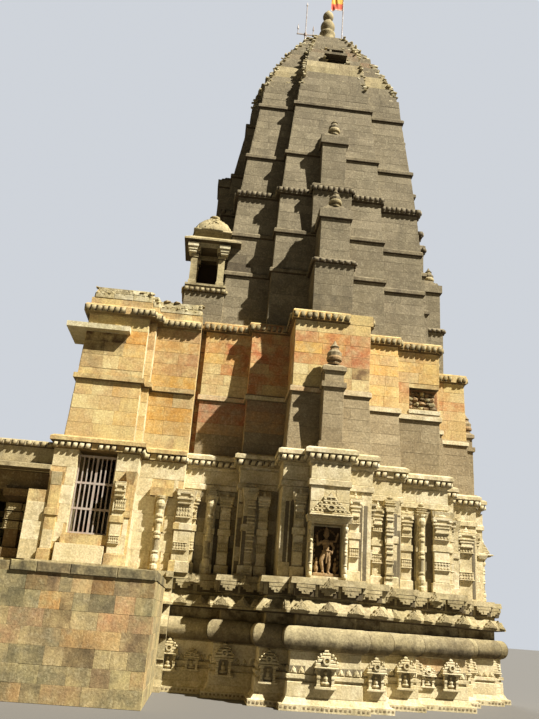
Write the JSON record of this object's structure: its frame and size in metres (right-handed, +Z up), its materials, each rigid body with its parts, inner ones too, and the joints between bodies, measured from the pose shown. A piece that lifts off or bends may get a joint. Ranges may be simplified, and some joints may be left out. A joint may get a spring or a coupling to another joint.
{
  "type": "hindu temple",
  "caption": "Stone temple with a stepped tower over a sanctum, a hall with barred windows, a pillared porch and a low terrace.",
  "frame": {"origin": "middle of the footprint's bounding box, at ground level", "axes": "+Z up; -Y the side seen in the picture; +X towards the back of the tower, -X towards the porch"},
  "size_m": [18.44, 14.84, 24.6],
  "materials": {
    "cream_stone": "matt, weathered cream stone",
    "grey_stone": "matt, weathered grey-brown stone",
    "patched_stone": "matt, patched ochre and rust stone",
    "weathered_stone": "matt, pale weathered stone",
    "carved_stone": "matt, dark brown carved stone",
    "iron": "grey-painted iron with rust stains",
    "flag_cloth": "woven cotton, sun-faded"
  },
  "bodies": {
    "root": {"sanctum_plinth": "cream_stone", "sanctum_torus_course": "cream_stone", "sanctum_ledge_course": "cream_stone", "sanctum_wall_south": "cream_stone", "sanctum_wall_north": "cream_stone", "sanctum_wall_east": "cream_stone", "sanctum_door_lintel": "cream_stone", "sanctum_lower_cornice": "cream_stone", "hall_base": "cream_stone", "tower_tier_1": "grey_stone", "tower_tier_3": "grey_stone", "tower_tier_4": "grey_stone", "tower_tier_5": "grey_stone", "tower_tier_6": "grey_stone", "tower_tier_7": "grey_stone", "tower_cap": "grey_stone", "lower_buttress_south": "grey_stone", "lower_buttress_east": "grey_stone", "lower_buttress_north": "grey_stone", "rib_south": "grey_stone", "rib_east": "grey_stone", "rib_north": "grey_stone", "rib_west": "grey_stone", "tower_tier_2": "patched_stone", "hall_wall_south": "patched_stone", "hall_wall_north": "patched_stone", "hall_door_lintel": "patched_stone", "hall_roof": "patched_stone", "terrace": "patched_stone", "tower_crown": "weathered_stone", "hall_hood_south": "weathered_stone", "hall_hood_north": "weathered_stone", "porch_floor": "weathered_stone", "porch_colonnade": "weathered_stone", "porch_roof": "weathered_stone", "kiosk_frame_south": "weathered_stone", "kiosk_frame_north": "weathered_stone", "kiosk_roof_south": "weathered_stone", "kiosk_roof_north": "weathered_stone", "niche_figure_south": "carved_stone", "niche_figure_east": "carved_stone", "niche_figure_north": "carved_stone", "trident": "iron", "flag_pole": "iron", "window_grille_south": "iron", "window_grille_north": "iron", "flag": "flag_cloth"}
  },
  "joints": []
}
